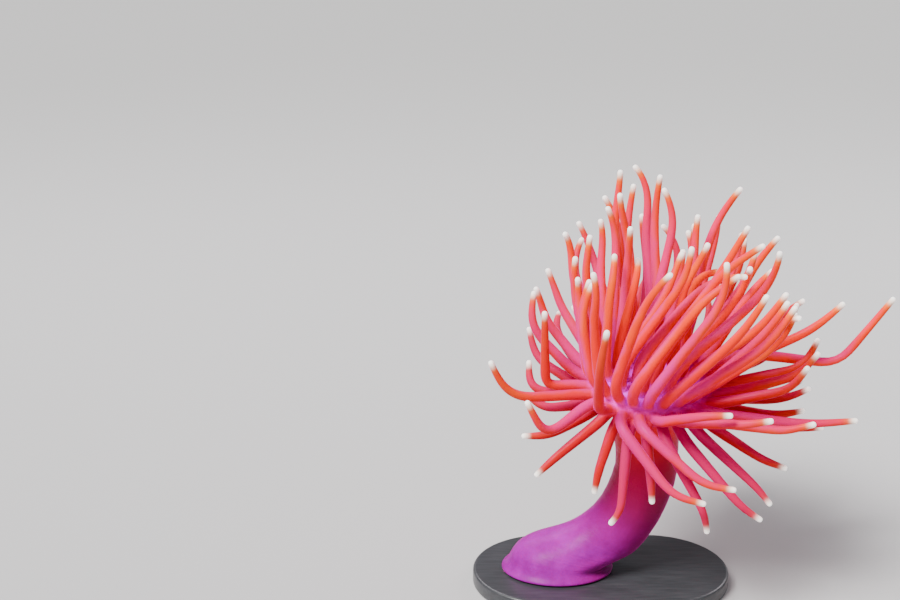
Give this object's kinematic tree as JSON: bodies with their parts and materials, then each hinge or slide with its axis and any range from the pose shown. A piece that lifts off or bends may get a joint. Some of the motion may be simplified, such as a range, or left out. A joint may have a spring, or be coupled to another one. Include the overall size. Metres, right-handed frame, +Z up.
{
  "type": "sea anemone display model",
  "caption": "Life-size still sea anemone on a flat oval base: bent column, rolled disc margin and a dense crown of long tapering tentacles leaning to one side.",
  "frame": {"origin": "centre of the display base's underside", "axes": "+Z up; +X the way the crown leans and the long end of the base; -Y the side that is looked at"},
  "size_m": [0.1565, 0.118, 0.1601],
  "materials": {
    "base": "satin charcoal lacquer on a flat wooden plate",
    "column": "moist smooth skin, violet pink with finely wrinkled folds",
    "disc": "moist smooth skin, magenta with radial furrows",
    "lips": "moist folded skin, light magenta",
    "tentacles": "moist translucent skin, pink at the root, orange along the length and cream at the tip"
  },
  "bodies": {
    "root": {"stand_base": "base", "pedal_disc": "column", "column_lower": "column", "column_middle": "column", "column_upper": "column", "collar": "column", "oral_disc": "disc", "lips": "lips", "tentacles_row1_run1": "tentacles", "tentacles_row1_run2": "tentacles", "tentacles_row1_run3": "tentacles", "tentacles_row1_run4": "tentacles", "tentacles_row2_run1": "tentacles", "tentacles_row2_run2": "tentacles", "tentacles_row2_run3": "tentacles", "tentacles_row2_run4": "tentacles", "tentacles_row3_run1": "tentacles", "tentacles_row3_run2": "tentacles", "tentacles_row3_run3": "tentacles", "tentacles_row3_run4": "tentacles", "tentacles_row3_run5": "tentacles", "tentacles_row3_run6": "tentacles", "tentacles_row3_run7": "tentacles", "tentacles_row3_run8": "tentacles", "tentacles_row4_run1": "tentacles", "tentacles_row4_run2": "tentacles", "tentacles_row4_run3": "tentacles", "tentacles_row4_run4": "tentacles", "tentacles_row4_run5": "tentacles", "tentacles_row4_run6": "tentacles", "tentacles_row4_run7": "tentacles", "tentacles_row4_run8": "tentacles", "tentacles_row5_run1": "tentacles", "tentacles_row5_run2": "tentacles", "tentacles_row5_run3": "tentacles", "tentacles_row5_run4": "tentacles", "tentacles_row5_run5": "tentacles", "tentacles_row5_run6": "tentacles", "tentacles_row5_run7": "tentacles", "tentacles_row5_run8": "tentacles"}
  },
  "joints": []
}
